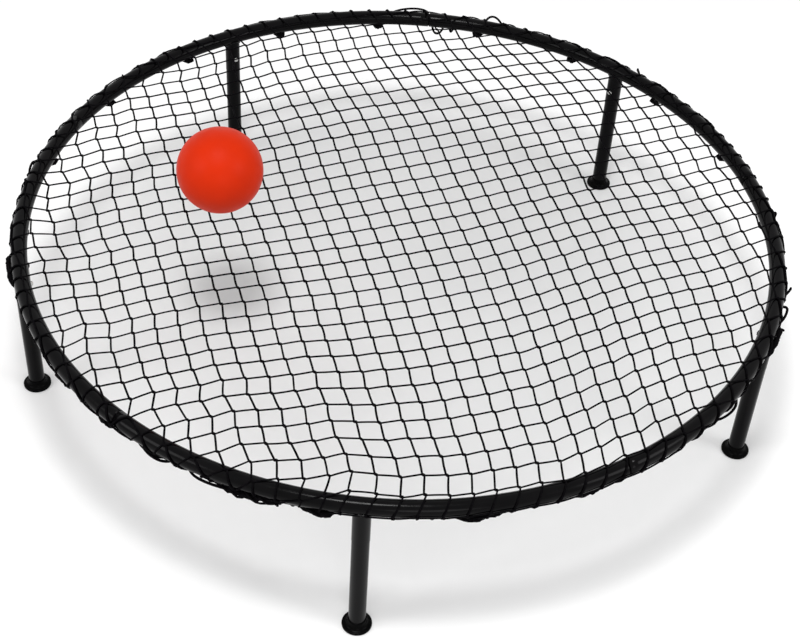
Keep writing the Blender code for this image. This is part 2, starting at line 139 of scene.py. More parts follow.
def powder_coat():
    finish, shader, place = new_finish("black_powder_coat", roughness=0.18, specular=0.075)
    mottle(finish, place, shader.inputs["Base Color"], COAT_DARK, COAT_WORN, scale=35)
    mottle(finish, place, shader.inputs["Roughness"], 0.13, 0.21, scale=90)
    grain(finish, place, shader, scale=1100, depth=0.000025)
    return finish


def pick_only(piece):
    """Leaves this piece alone selected, and active."""
    bpy.ops.object.select_all(action="DESELECT")
    piece.select_set(True)
    bpy.context.view_layer.objects.active = piece


def tidy_mesh(piece, smooth_angle=SMOOTHING):
    """Merges doubles, turns the faces outwards and shades the piece smooth up to the angle."""
    pick_only(piece)
    bpy.ops.object.mode_set(mode="EDIT")
    bpy.ops.mesh.select_all(action="SELECT")
    bpy.ops.mesh.remove_doubles(threshold=MERGE_DISTANCE)
    bpy.ops.mesh.normals_make_consistent(inside=False)
    bpy.ops.object.mode_set(mode="OBJECT")
    bpy.ops.object.shade_smooth_by_angle(angle=smooth_angle)


def apply_modifier(piece, kind, **settings):
    """Adds a modifier with these settings and applies it at once."""
    pick_only(piece)
    modifier = piece.modifiers.new(kind.title(), kind)
    for name, value in settings.items():
        setattr(modifier, name, value)
    bpy.ops.object.modifier_apply(modifier=modifier.name)


def dress(piece, finish, slot, body, *nodes):
    """Gives a finished piece its material, hides the nodes it stands in for, and hangs it on its
    body.
    """
    piece.data.materials.clear()
    piece.data.materials.append(finish)
    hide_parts(*nodes)
    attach(piece, body)


def turned_copies(model, name, angles):
    """Copies of a model made at angle 0, each with its own mesh, turned round the ring's middle."""
    copies = []
    for i, angle in enumerate(angles):
        piece = bpy.data.objects.new(f"{name}_{i + 1}", model.data.copy())
        piece.data.transform(Matrix.Rotation(angle, 4, "Z"))
        bpy.context.collection.objects.link(piece)
        copies.append(piece)
    bpy.data.objects.remove(model)
    return copies


def spin_on(angle, steps):
    """Sweeps the selected end of a tube on round the ring."""
    bpy.ops.mesh.spin(steps=steps, angle=angle, center=(0, 0, 0), axis=(0, 0, -1))


def ring_tube():
    """One tube of the ring, from angle 0 to its swaged end."""
    swage = SWAGE_LENGTH / RING_RADIUS
    end = SECTION_ANGLE - SEAM_GAP / RING_RADIUS
    bpy.ops.object.select_all(action="DESELECT")
    bpy.ops.mesh.primitive_circle_add(
        vertices=TUBE_SIDES,
        radius=TUBE_RADIUS,
        location=(RING_RADIUS, 0, RING_HEIGHT),
        rotation=(pi / 2, 0, 0),
    )
    tube = bpy.context.object
    bpy.ops.object.transform_apply()
    bpy.ops.object.mode_set(mode="EDIT")
    bpy.ops.mesh.select_all(action="SELECT")
    spin_on(end - swage, TUBE_BENDS)
    spin_on(swage, 1)
    middle = (RING_RADIUS * cos(end), RING_RADIUS * sin(end), RING_HEIGHT)
    bpy.ops.transform.resize(value=(SWAGED_SHARE,) * 3, center_override=middle)
    spin_on(TONGUE_LENGTH / RING_RADIUS, TONGUE_BENDS)
    bpy.ops.object.mode_set(mode="OBJECT")
    tidy_mesh(tube)
    apply_modifier(tube, "SOLIDIFY", thickness=TUBE_WALL, offset=-1)
    return tube


coat = powder_coat()
section_starts = [angle - SECTION_ANGLE / 2 for angle in LEG_ANGLES]
for i, tube in enumerate(turned_copies(ring_tube(), "ring_tube", section_starts)):
    dress(tube, coat, "coat", "frame", f"rim_tube_{i + 1}")


# Leg sockets: a steel stub, 19.5 mm across, is welded upright under the middle of each ring
# tube. A round hole in its inner side takes the leg's snap button.
SOCKET_RADIUS = 0.00975
SOCKET_END = 0.142
SOCKET_RISE = 0.0038
SOCKET_TOP = RING_HEIGHT - TUBE_RADIUS + SOCKET_RISE
SOCKET_SMOOTHING = radians(20)
LEG_SIDES = 48
BUTTON_HEIGHT = 0.162
HOLE_RADIUS = 0.0033
HOLE_SIDES = 32
EDGE_ROUNDING = 0.0003
BEAD_RADIUS = 0.0015
BEAD_RIPPLES = 22
BEAD_STEPS = 4 * BEAD_RIPPLES
BEAD_MEAN = 0.92
BEAD_SWELL = 0.12
SOCKET_BEAD_REACH = 0.93 * TUBE_RADIUS


def upright_tube(radius, bottom, top):
    """An open tube wall round the leg's axis at angle 0."""
    bpy.ops.object.select_all(action="DESELECT")
    bpy.ops.mesh.primitive_cylinder_add(
        vertices=LEG_SIDES,
        radius=radius,
        depth=top - bottom,
        end_fill_type="NOTHING",
        location=(RING_RADIUS, 0, (top + bottom) / 2),
    )
    bpy.ops.object.transform_apply()
    return bpy.context.object


def drill_button_hole(piece):
    """Cuts the round hole on the side that faces the middle of the ring."""
    bpy.ops.object.select_all(action="DESELECT")
    bpy.ops.mesh.primitive_cylinder_add(
        vertices=HOLE_SIDES,
        radius=HOLE_RADIUS,
        depth=2 * SOCKET_RADIUS,
        location=(RING_RADIUS - SOCKET_RADIUS, 0, BUTTON_HEIGHT),
        rotation=(0, pi / 2, 0),
    )
    drill = bpy.context.object
    apply_modifier(piece, "BOOLEAN", operation="DIFFERENCE", solver="EXACT", object=drill)
    bpy.data.objects.remove(drill)


def add_line(curve, points, closed):
    """Adds a line with straight stretches through the points to a curve."""
    spline = curve.splines.new("POLY")
    spline.points.add(len(points) - 1)
    spline.use_cyclic_u = closed
    for point, place in zip(spline.points, points):
        point.co = (*place, 1)
    return spline


def curve_piece(name, curve):
    """A mesh piece made from a curve."""
    piece = bpy.data.objects.new(name, curve)
    bpy.context.collection.objects.link(piece)
    pick_only(piece)
    bpy.ops.object.convert(target="MESH")
    return piece


def weld_bead(name, radius, side_reach, bead_radius):
    """A rippled bead where an upright bar of this radius meets the underside of the ring tube.
    Side_reach is how far down the tube's sides it goes, measured outwards."""
    curve = bpy.data.curves.new(name, "CURVE")
    curve.dimensions = "3D"
    curve.bevel_depth = bead_radius
    curve.bevel_resolution = 2
    turns = [2 * pi * i / BEAD_STEPS for i in range(BEAD_STEPS)]
    points = []
    for turn in turns:
        out = min(abs(radius * cos(turn)), side_reach)
        height = RING_HEIGHT - sqrt(TUBE_RADIUS**2 - out**2)
        points.append((RING_RADIUS + radius * cos(turn), radius * sin(turn), height))
    spline = add_line(curve, points, closed=True)
    for point, turn in zip(spline.points, turns):
        point.radius = BEAD_MEAN + BEAD_SWELL * cos(BEAD_RIPPLES * turn)
    bead = curve_piece(name, curve)
    tidy_mesh(bead)
    return bead


def join_to(piece, other):
    pick_only(piece)
    other.select_set(True)
    bpy.ops.object.join()


def leg_socket():
    """The stub with its button hole, its broken edges and its weld."""
    stub = upright_tube(SOCKET_RADIUS, SOCKET_END, SOCKET_TOP)
    tidy_mesh(stub)
    apply_modifier(stub, "SOLIDIFY", thickness=TUBE_WALL, offset=-1)
    drill_button_hole(stub)
    apply_modifier(stub, "BEVEL", width=EDGE_ROUNDING, segments=2, limit_method="ANGLE")
    tidy_mesh(stub, SOCKET_SMOOTHING)
    join_to(stub, weld_bead("socket_weld", SOCKET_RADIUS, SOCKET_BEAD_REACH, BEAD_RADIUS))
    return stub


for i, stub in enumerate(turned_copies(leg_socket(), "leg_stub", LEG_ANGLES)):
    dress(stub, coat, "coat", "frame", f"leg_socket_{i + 1}")


# Leg tubes: straight steel tubes with the same black coat. The top of each is reduced so that
# it plugs up into the socket, and its lower end stands in the foot.
LEG_RADIUS = 0.0095
LEG_BOTTOM = 0.0033
LEG_GAP = 0.0001
LEG_SHOULDER = SOCKET_END - LEG_GAP
LEG_TONGUE_RADIUS = 0.00825
LEG_TONGUE_TOP = 0.182
LEG_TAPER = 0.0003
LEG_SMOOTHING = radians(25)


def select_corners(piece, chosen):
    """Selects the corners for which chosen(place) holds, and goes to edit mode."""
    bpy.ops.object.mode_set(mode="EDIT")
    bpy.ops.mesh.select_mode(type="VERT")
    bpy.ops.mesh.select_all(action="DESELECT")
    bpy.ops.object.mode_set(mode="OBJECT")
    for vertex in piece.data.vertices:
        vertex.select = chosen(vertex.co)
    bpy.ops.object.mode_set(mode="EDIT")


def leg_tube():
    """The leg, whose open upper end is drawn in and then up into the part that plugs in."""
    leg = upright_tube(LEG_RADIUS, LEG_BOTTOM, LEG_SHOULDER - LEG_TAPER)
    select_corners(leg, lambda place: place.z > LEG_SHOULDER - 2 * LEG_TAPER)
    bpy.ops.mesh.select_mode(type="EDGE")
    bpy.ops.mesh.extrude_region_move(TRANSFORM_OT_translate={"value": (0, 0, LEG_TAPER)})
    share = LEG_TONGUE_RADIUS / LEG_RADIUS
    bpy.ops.transform.resize(value=(share, share, 1), center_override=(RING_RADIUS, 0, LEG_SHOULDER))
    rise = LEG_TONGUE_TOP - LEG_SHOULDER
    bpy.ops.mesh.extrude_region_move(TRANSFORM_OT_translate={"value": (0, 0, rise)})
    bpy.ops.object.mode_set(mode="OBJECT")
    tidy_mesh(leg)
    apply_modifier(leg, "SOLIDIFY", thickness=TUBE_WALL, offset=-1)
    drill_button_hole(leg)
    tidy_mesh(leg, LEG_SMOOTHING)
    return leg


for i, leg in enumerate(turned_copies(leg_tube(), "leg", LEG_ANGLES)):
    dress(leg, coat, "coat", "frame", f"leg_tube_{i + 1}")


# Feet: a moulded black rubber cap on each leg. It flares like a trumpet into a thin round
# flange, 33 mm across, that stands on the floor. Its neck hugs the leg.
FOOT_RADIUS = 0.0165
FOOT_EDGE = 0.0034
FOOT_ROUNDING = 0.0012
FOOT_FLOOR = 0.003
FOOT_FIT = 0.0002
FOOT_BORE = LEG_RADIUS + FOOT_FIT
FOOT_LIP = 0.0005
LIP_ROUND = 0.35 * FOOT_LIP
LIP_RISE = 0.3 * FOOT_LIP
FOOT_SIDES = 56
FOOT_SMOOTHING = radians(50)
FOOT_STEPS = (
    (0.0021, 0.0003),
    (0.0015, 0.0008),
    (0.0011, 0.0014),
    (0.0007, 0.0018),
    (0.0004, 0.0020),
    (0.0002, 0.0018),
)
RUBBER_DARK = (0.0007, 0.0007, 0.0009, 1)
RUBBER_DUSTY = (0.0018, 0.0017, 0.0017, 1)
FACING = 0.99


def moulded_rubber():
    finish, shader, place = new_finish("black_moulded_rubber", roughness=0.22, specular=0.03)
    mottle(finish, place, shader.inputs["Base Color"], RUBBER_DARK, RUBBER_DUSTY, scale=120)
    mottle(finish, place, shader.inputs["Roughness"], 0.18, 0.3, scale=200)
    grain(finish, place, shader, scale=1600, depth=0.00004)
    return finish


def select_flat_end(piece, side=1):
    """Selects the faces that look straight up, or down where side is -1, in edit mode."""
    bpy.ops.object.mode_set(mode="EDIT")
    bpy.ops.mesh.select_mode(type="FACE")
    bpy.ops.mesh.select_all(action="DESELECT")
    bpy.ops.object.mode_set(mode="OBJECT")
    for face in piece.data.polygons:
        face.select = face.normal.z * side > FACING
    bpy.ops.object.mode_set(mode="EDIT")


def foot():
    """The cap, built up from its flange. Each step of the flare goes this far in and up."""
    bpy.ops.object.select_all(action="DESELECT")
    bpy.ops.mesh.primitive_cylinder_add(
        vertices=FOOT_SIDES,
        radius=FOOT_RADIUS,
        depth=FOOT_EDGE,
        location=(RING_RADIUS, 0, FOOT_EDGE / 2),
    )
    cap = bpy.context.object
    bpy.ops.object.transform_apply()
    apply_modifier(cap, "BEVEL", width=FOOT_ROUNDING, segments=4, limit_method="ANGLE")
    select_flat_end(cap)
    neck = FOOT_RADIUS - FOOT_ROUNDING - FOOT_BORE - FOOT_LIP
    share = neck / sum(step for step, _ in FOOT_STEPS)
    for step, rise in FOOT_STEPS:
        bpy.ops.mesh.inset(thickness=step * share, depth=rise)
    bpy.ops.mesh.inset(thickness=LIP_ROUND, depth=LIP_RISE)
    bpy.ops.mesh.inset(thickness=FOOT_LIP - LIP_ROUND)
    top = FOOT_EDGE + sum(rise for _, rise in FOOT_STEPS) + LIP_RISE
    bpy.ops.mesh.extrude_region_move(TRANSFORM_OT_translate={"value": (0, 0, FOOT_FLOOR - top)})
    bpy.ops.object.mode_set(mode="OBJECT")
    tidy_mesh(cap, FOOT_SMOOTHING)
    return cap


rubber = moulded_rubber()
for i, cap in enumerate(turned_copies(foot(), "foot_cap", LEG_ANGLES)):
    dress(cap, rubber, "foot", "frame", f"foot_{i + 1}")


# Snap buttons: a zinc-plated steel pin with a domed end stands out through the hole in each
# leg and its socket. A V of spring steel inside the leg pushes it back out.
BUTTON_RADIUS = 0.003
BUTTON_SHANK = 0.0053
BUTTON_TIP = 0.01205
BUTTON_DOME = 0.0018
BUTTON_FLANGE = 0.0042
BUTTON_FLANGE_DEPTH = 0.001
BUTTON_SIDES = 32
DOME_STEPS = 5
DOME_TOP = radians(80)
ZINC_BRIGHT = (0.62, 0.62, 0.60, 1)
ZINC_DULL = (0.42, 0.42, 0.41, 1)
SPRING_WIDTH = 0.005
SPRING_THICKNESS = 0.0005
SPRING_NEAR = -0.0037
SPRING_FAR = 0.00592
SPRING_TOP = 0.006
SPRING_KINK = -0.0042
SPRING_FOOT = -0.028
SPRING_BEND = 0.0016
SPRING_STEPS = 8


def zinc_plate():
    finish, shader, place = new_finish(
        "zinc_plated_steel", roughness=0.3, specular=0.5, metallic=1.0
    )
    mottle(finish, place, shader.inputs["Base Color"], ZINC_BRIGHT, ZINC_DULL, scale=500)
    mottle(finish, place, shader.inputs["Roughness"], 0.22, 0.38, scale=900)
    grain(finish, place, shader, scale=2500, depth=0.00002)
    return finish


def snap_button():
    """The pin, modelled upright on its flange and then laid over towards the ring's middle."""
    length = BUTTON_TIP - BUTTON_DOME - BUTTON_SHANK
    bpy.ops.object.select_all(action="DESELECT")
    bpy.ops.mesh.primitive_cylinder_add(
        vertices=BUTTON_SIDES,
        radius=BUTTON_FLANGE,
        depth=BUTTON_FLANGE_DEPTH,
        location=(0, 0, BUTTON_SHANK - BUTTON_FLANGE_DEPTH / 2),
    )
    pin = bpy.context.object
    bpy.ops.object.transform_apply()
    select_flat_end(pin)
    bpy.ops.mesh.inset(thickness=BUTTON_FLANGE - BUTTON_RADIUS)
    bpy.ops.mesh.extrude_region_move(TRANSFORM_OT_translate={"value": (0, 0, length)})
    for i in range(DOME_STEPS):
        low, high = (turn * pi / 2 / DOME_STEPS for turn in (i, i + 1))
        step = BUTTON_RADIUS * (cos(low) - cos(min(high, DOME_TOP)))
        bpy.ops.mesh.inset(thickness=step, depth=BUTTON_DOME * (sin(high) - sin(low)))
    bpy.ops.object.mode_set(mode="OBJECT")
    pin.data.transform(Matrix.Rotation(-pi / 2, 4, "Y"))
    pin.data.transform(Matrix.Translation((RING_RADIUS, 0, BUTTON_HEIGHT)))
    tidy_mesh(pin)
    return pin


def spring_leaf():
    """The V as one strip: the leaf behind the pin, the bend at its foot, and the leaf that bears
    on the leg's far wall."""
    near_kink = Vector((SPRING_NEAR, SPRING_KINK, 0))
    bend = []
    for i in range(SPRING_STEPS + 1):
        turn = pi * (1 + i / SPRING_STEPS)
        bend.append((SPRING_BEND * cos(turn), SPRING_FOOT + SPRING_BEND * sin(turn), 0))
    line = [(SPRING_NEAR, SPRING_TOP, 0)]
    line += [near_kink.lerp(Vector(bend[0]), i / SPRING_STEPS) for i in range(SPRING_STEPS)]
    line += bend
    line += [(SPRING_FAR, SPRING_KINK, 0), (SPRING_FAR, SPRING_TOP, 0)]
    curve = bpy.data.curves.new("button_leaf", "CURVE")
    curve.dimensions = "2D"
    curve.fill_mode = "NONE"
    curve.extrude = SPRING_WIDTH / 2
    add_line(curve, line, closed=False)
    leaf = curve_piece("button_leaf", curve)
    leaf.data.transform(Matrix.Rotation(pi / 2, 4, "X"))
    leaf.data.transform(Matrix.Translation((RING_RADIUS, 0, BUTTON_HEIGHT)))
    tidy_mesh(leaf)
    apply_modifier(leaf, "SOLIDIFY", thickness=SPRING_THICKNESS, offset=0)
    return leaf


zinc = zinc_plate()
for i, pin in enumerate(turned_copies(snap_button(), "snap_button", LEG_ANGLES)):
    dress(pin, zinc, "steel", f"button_{i + 1}", f"leg_button_{i + 1}")
for i, leaf in enumerate(turned_copies(spring_leaf(), "button_leaf", LEG_ANGLES)):
    leaf.data.materials.clear()
    leaf.data.materials.append(zinc)
    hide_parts(f"button_spring_{i + 1}")
    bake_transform(leaf)


# Net hooks: twenty tapered steel pegs, welded in a row under the ring tubes. The tip of each
# turns in towards the middle and is rounded, so that the border cord can't slip off.
HOOK_COUNT = 20
HOOK_BASE = 0.005
HOOK_NECK = 0.0034
HOOK_TIP = 0.0025
HOOK_DROP = 0.0095
HOOK_BEND = 0.0042
HOOK_BEND_ANGLE = radians(50)
HOOK_BEND_STEPS = 6
HOOK_TIP_STEPS = ((0.15, 0.42), (0.25, 0.3), (0.3, 0.18))
HOOK_SIDES = 24
HOOK_SMOOTHING = radians(50)
HOOK_BEAD_RADIUS = 0.0011
HOOK_ANGLES = [radians(-81) + i * 2 * pi / HOOK_COUNT for i in range(HOOK_COUNT)]


def net_hook():
    """The peg, built down from the tube: a cone, its bend towards the middle and the round tip."""
    start = RING_HEIGHT - TUBE_RADIUS / 2
    bend = RING_HEIGHT - TUBE_RADIUS - HOOK_DROP + HOOK_TIP + HOOK_BEND
    bpy.ops.object.select_all(action="DESELECT")
    bpy.ops.mesh.primitive_cone_add(
        vertices=HOOK_SIDES,
        radius1=HOOK_NECK,
        radius2=HOOK_BASE,
        depth=start - bend,
        location=(RING_RADIUS, 0, (start + bend) / 2),
    )
    peg = bpy.context.object
    bpy.ops.object.transform_apply()
    select_flat_end(peg, side=-1)
    share = (HOOK_TIP / HOOK_NECK) ** (1 / HOOK_BEND_STEPS)
    turn = HOOK_BEND_ANGLE / HOOK_BEND_STEPS
    for i in range(HOOK_BEND_STEPS):
        angle = turn * (i + 1)
        across = HOOK_BEND * (cos(turn * i) - cos(angle))
        down = HOOK_BEND * (sin(angle) - sin(turn * i))
        bpy.ops.mesh.extrude_region_move(TRANSFORM_OT_translate={"value": (-across, 0, -down)})
        place = (
            RING_RADIUS - HOOK_BEND * (1 - cos(angle)),
            0,
            bend - HOOK_BEND * sin(angle),
        )
        bpy.ops.transform.rotate(value=-turn, orient_axis="Y", center_override=place)
        bpy.ops.transform.resize(value=(share,) * 3, center_override=place)
    for thickness, depth in HOOK_TIP_STEPS:
        bpy.ops.mesh.inset(thickness=thickness * HOOK_TIP, depth=depth * HOOK_TIP)
    bpy.ops.object.mode_set(mode="OBJECT")
    tidy_mesh(peg, HOOK_SMOOTHING)
    join_to(peg, weld_bead("hook_weld", HOOK_BASE, HOOK_BASE, HOOK_BEAD_RADIUS))
    return peg


for i, peg in enumerate(turned_copies(net_hook(), "hook", HOOK_ANGLES)):
    dress(peg, coat, "coat", "frame", f"net_hook_{i + 1}")


# Net: black knotted nylon twine in meshes of 25 mm, laid over the ring about 20 degrees off the
# front leg's line. It runs flat over the middle and goes down round the outside of the tubes,
# where the cord has drawn each side of it some way out of its square.
MESH_SIDE = 0.0254
NET_TURN = radians(19.5)
NET_SHIFT = Vector((-0.047, 0.003))
NET_HALF = 24
FIRST_PULL = radians(-72)
EDGE_PULLS = (
    (0.020, -0.025),
    (0.005, 0.020),
    (0.015, 0.045),
    (0.025, 0.010),
    (-0.015, -0.005),
    (-0.015, 0.005),
    (0.020, -0.025),
    (0.030, -0.030),
    (0.035, 0.010),
    (0.040, 0.025),
)
PULL_PLACES = len(EDGE_PULLS)
ROW_SLIP = 0.0022
COLUMN_SLIP = 0.0018
SLIP_FADE = 0.16
SHORTEST_HALF = 0.02
ROW_TWINE = 0.00098
COLUMN_TWINE = 0.00118
TWINE_BOW = 0.00025
BOW_STEPS = 4
SHORTEST_RUN = 3
LAY_SCALE = 300
LAY_DEPTH = 0.00012
ROW_LAY = NET_TURN + radians(40)
COLUMN_LAY = NET_TURN - radians(50)
WRAP_REACH = TUBE_RADIUS + COLUMN_TWINE
NET_HEIGHT = RING_HEIGHT + WRAP_REACH
KNOT_TURN = NET_TURN - radians(45)
KNOT_ENDS = 0.0014
KNOT_SIZE = (0.0026, 0.0019, 0.0017)
KNOT_WAIST = 0.85
KNOT_WAIST_REACH = 0.0002
KNOT_SIZES = (0.92, 1.08)
KNOT_TWIST = 0.2
TIE_SLIP = 0.006
TUBE_LEFT_BEFORE = radians(14)
TUBE_LEFT_BY = radians(170)
TWINE_DARK = (0.0022, 0.0019, 0.0024, 1)
TWINE_LIGHT = (0.0048, 0.0044, 0.0052, 1)

dice = random.Random(12)


def twine_finish(name, lay_turn):
    """Nylon twine whose fine plies show as slanting ridges along strands of one direction."""
    finish, shader, place = new_finish(name, roughness=0.6, specular=0.012)
    mottle(finish, place, shader.inputs["Base Color"], TWINE_DARK, TWINE_LIGHT, scale=400)
    links = finish.node_tree.links
    turn = add_node(finish, "ShaderNodeMapping", Rotation=(0, 0, lay_turn))
    links.new(place, turn.inputs["Vector"])
    plies = add_node(finish, "ShaderNodeTexWave", Scale=LAY_SCALE, Distortion=0.6, Detail=1.0)
    links.new(turn.outputs["Vector"], plies.inputs["Vector"])
    relief = add_node(finish, "ShaderNodeBump", Strength=1.0, Distance=LAY_DEPTH)
    links.new(plies.outputs["Fac"], relief.inputs["Height"])
    links.new(relief.outputs["Normal"], shader.inputs["Normal"])
    return finish


def edge_pull(angle):
    """How far rightwards and backwards the cord has drawn the net's edge here. The list has it
    at evenly spaced places round the ring, and it is eased between them."""
    turn = (angle - FIRST_PULL) / (2 * pi) * PULL_PLACES
    share = (1 - cos(pi * (turn - floor(turn)))) / 2
    before = Vector(EDGE_PULLS[floor(turn) % PULL_PLACES])
    return before.lerp(Vector(EDGE_PULLS[(floor(turn) + 1) % PULL_PLACES]), share)


def strand_ends(slip):
    """How far each strand has slipped at its two ends, in its knots or with its neighbours."""
    return {i: (dice.gauss(0, slip), dice.gauss(0, slip)) for i in range(-NET_HALF, NET_HALF + 1)}


def drawn_along(flat, direction, slips):
    """How far a strand of this direction is drawn along itself at a point of the flat net."""
    side = direction.orthogonal()
    away = flat.dot(side)
    half = max(sqrt(max(RING_RADIUS**2 - away**2, 0)), SHORTEST_HALF)
    share = min(max(flat.dot(direction) / half, -1), 1)
    drawn = 0
    for sign, slip in ((-1, slips[0]), (1, slips[1])):
        end = direction * half * sign + side * away
        weight = (1 + sign * share) / 2
        near = exp(-(1 - sign * share) * half / SLIP_FADE)
        drawn += edge_pull(atan2(end.y, end.x)).dot(direction) * weight + slip * near
    return drawn


def knot_places():
    """Where each knot lies in the net's flat plane."""
    rightward = Vector((cos(NET_TURN), sin(NET_TURN)))
    backward = Vector((-sin(NET_TURN), cos(NET_TURN)))
    row_slips = strand_ends(ROW_SLIP)
    column_slips = strand_ends(COLUMN_SLIP)
    places = {}
    for column in range(-NET_HALF, NET_HALF + 1):
        for row in range(-NET_HALF, NET_HALF + 1):
            square = NET_SHIFT + (rightward * column + backward * row) * MESH_SIDE
            places[column, row] = (
                square
                + rightward * drawn_along(square, rightward, row_slips[row])
                + backward * drawn_along(square, backward, column_slips[column])
            )
    return places


def wrapped(flat):
    """A point of the flat net, laid on the ring: flat inside it, and round the tube past it."""
    reach = flat.length
    past = (reach - RING_RADIUS) / WRAP_REACH
    if past <= 0:
        return Vector((flat.x, flat.y, NET_HEIGHT))
    out = (RING_RADIUS + WRAP_REACH * sin(past)) / reach
    return Vector((flat.x * out, flat.y * out, RING_HEIGHT + WRAP_REACH * cos(past)))


# The border cord's line, which the strands are tied to. Each place beside the tube's centre is
# how far out from it and how far up, and each thick stretch of the net's edge is its middle and
# its width in degrees, and its share of the full thickness.
CORD_RADIUS = 0.002
CORD_HOOK_PLACE = (-0.0058, -0.0117)
CORD_FREE_PLACE = (0.01205, -0.00445)
CORD_FRONT_PLACE = (-0.0008, -0.0121)
CORD_TUCKED_PLACE = (-0.0135, -0.0105)
CORD_ROUND_HOOK = 0.11
CORD_DIP_SHAPE = 0.22
DRAWN_UNDER = (0.1, 0.8)
FRONT_LEG = LEG_ANGLES[0]
SIDE_LEGS = (LEG_ANGLES[1], LEG_ANGLES[4])
LEG_NEAR = radians(1.9)
LEG_FAR = radians(4.5)
THICK_STRETCHES = (
    (222, 4, 0.9),
    (232, 3, 0.6),
    (242, 7, 0.7),
    (255.5, 8, 1.0),
    (264.5, 5, 1.0),
    (285, 5, 0.8),
    (299.5, 5, 0.6),
)
THICK_DRAWN_OUT = 0.55
SOCKET_PASS = radians(1.7)


def off_hook(angle):
    """How far the cord has left the hooks here, from 0 round a hook to 1 midway between two."""
    away = abs(sin((angle - HOOK_ANGLES[0]) * HOOK_COUNT / 2))
    return max((away - CORD_ROUND_HOOK) / (1 - CORD_ROUND_HOOK), 0) ** CORD_DIP_SHAPE


def eased(value, low, high):
    """0 up to low and 1 from high, with a smooth rise between them."""
    share = min(max((value - low) / (high - low), 0), 1)
    return share * share * (3 - 2 * share)


def drawn_under(angle):
    """0 at the back, where the cord hangs beside the tube, and 1 at the front, where more of the
    net's edge has been drawn under it."""
    return eased((1 - sin(angle)) / 2, *DRAWN_UNDER)


def turn_from(angle, middle):
    """The shorter way round from the middle to the angle, between minus and plus half a turn."""
    return (angle - middle + pi) % (2 * pi) - pi


def near_leg(angle, *legs):
    """1 where the cord passes one of these legs, and 0 elsewhere."""
    nearest = min(abs(turn_from(angle, leg)) for leg in legs)
    return 1 - eased(nearest, LEG_NEAR, LEG_FAR)


def thickening(angle):
    """From 0 to 1: how much more of the net is drawn up round the cord at an angle."""
    more = 0
    for middle, width, share in THICK_STRETCHES:
        off = turn_from(angle, radians(middle))
        more = max(more, share * exp(-((2 * off / radians(width)) ** 4)))
    return more


def tube_place(out, up):
    """A place beside the tube's centre, as its angle round the tube from the top and its reach."""
    return atan2(out, up) % (2 * pi), hypot(out, up)


def cord_wrap(angle):
    """The border cord's angle round the tube from its top, and its reach from the tube's centre.
    It passes the side legs on their outer side and the front leg on its inner side."""
    under = drawn_under(angle) * (1 - near_leg(angle, *SIDE_LEGS))
    under *= 1 - THICK_DRAWN_OUT * thickening(angle)
    free = Vector(tube_place(*CORD_FREE_PLACE))
    free = free.lerp(Vector(tube_place(*CORD_FRONT_PLACE)), under)
    cord = Vector(tube_place(*CORD_HOOK_PLACE)).lerp(free, off_hook(angle))
    return tuple(cord.lerp(Vector(tube_place(*CORD_TUCKED_PLACE)), near_leg(angle, FRONT_LEG)))


def round_tube(angle, wrap, reach):
    """The point at this angle of the ring, this way round the tube and this far from its centre."""
    out = RING_RADIUS + reach * sin(wrap)
    return Vector((out * cos(angle), out * sin(angle), RING_HEIGHT + reach * cos(wrap)))


def wrap_limit(angle):
    """How far round the tube the net lies on it before it goes off to the border cord."""
    return min(cord_wrap(angle)[0] - TUBE_LEFT_BEFORE, TUBE_LEFT_BY)


def on_net(flat):
    """Whether a point of the flat net lies over the ring or round its tube."""
    past = (flat.length - RING_RADIUS) / WRAP_REACH
    return past < wrap_limit(atan2(flat.y, flat.x))


def strand_line(knots, knot_end):
    """A strand through its knots as flat points. It enters each knot at one end and leaves it at
    the other, and each stretch is bowed a little by the stiff twine."""
    line = []
    for start, end in zip(knots, knots[1:]):
        line.append(start)
        leaves = start + knot_end
        arrives = end - knot_end
        side = (arrives - leaves).orthogonal().normalized()
        bow = dice.gauss(0, TWINE_BOW)
        for i in range(BOW_STEPS + 1):
            share = i / BOW_STEPS
            line.append(leaves.lerp(arrives, share) + side * bow * sin(pi * share))
    return line


def strand_runs(line):
    """The stretches of a strand's line that lie on the net, without its far ends."""
    runs = [[]]
    for flat in line:
        if on_net(flat):
            runs[-1].append(flat)
        elif runs[-1]:
            runs.append([])
    return [run for run in runs if len(run) >= SHORTEST_RUN]


def tie_to_cord(end, ties):
    """The last points of a strand, from where it leaves the tube to the border cord. Where the
    front leg's socket is in the way, it goes past beside it."""
    angle = atan2(end.y, end.x) + dice.gauss(0, TIE_SLIP)
    from_leg = turn_from(angle, FRONT_LEG)
    if abs(from_leg) < SOCKET_PASS:
        angle = FRONT_LEG + (SOCKET_PASS if from_leg > 0 else -SOCKET_PASS)
    wrap, reach = cord_wrap(angle)
    limit = wrap_limit(angle)
    ties.append(angle)
    return [
        round_tube(angle, (limit + wrap) / 2, (WRAP_REACH + reach) / 2),
        round_tube(angle, wrap, reach - CORD_RADIUS),
    ]


def twine_curve(name, strands, radius, closed=False):
    """Lengths of twine or cord as one piece."""
    curve = bpy.data.curves.new(name, "CURVE")
    curve.dimensions = "3D"
    curve.bevel_depth = radius
    curve.bevel_resolution = 1
    curve.use_fill_caps = not closed
    for points in strands:
        add_line(curve, points, closed)
    piece = curve_piece(name, curve)
    bpy.ops.object.shade_smooth()
    return piece


def laid_strands(places, by_row, ties):
    """Every strand of one direction, from the border cord over the ring and back to the cord."""
    numbers = range(-NET_HALF, NET_HALF + 1)
    knot_end = Vector((cos(KNOT_TURN), sin(KNOT_TURN))) * (KNOT_ENDS if by_row else -KNOT_ENDS)
    strands = []
    for fixed in numbers:
        knots = [places[(i, fixed) if by_row else (fixed, i)] for i in numbers]
        for run in strand_runs(strand_line(knots, knot_end)):
            points = [wrapped(flat) for flat in run]
            start = tie_to_cord(run[0], ties)
            strands.append(start[::-1] + points + tie_to_cord(run[-1], ties))
    return strands


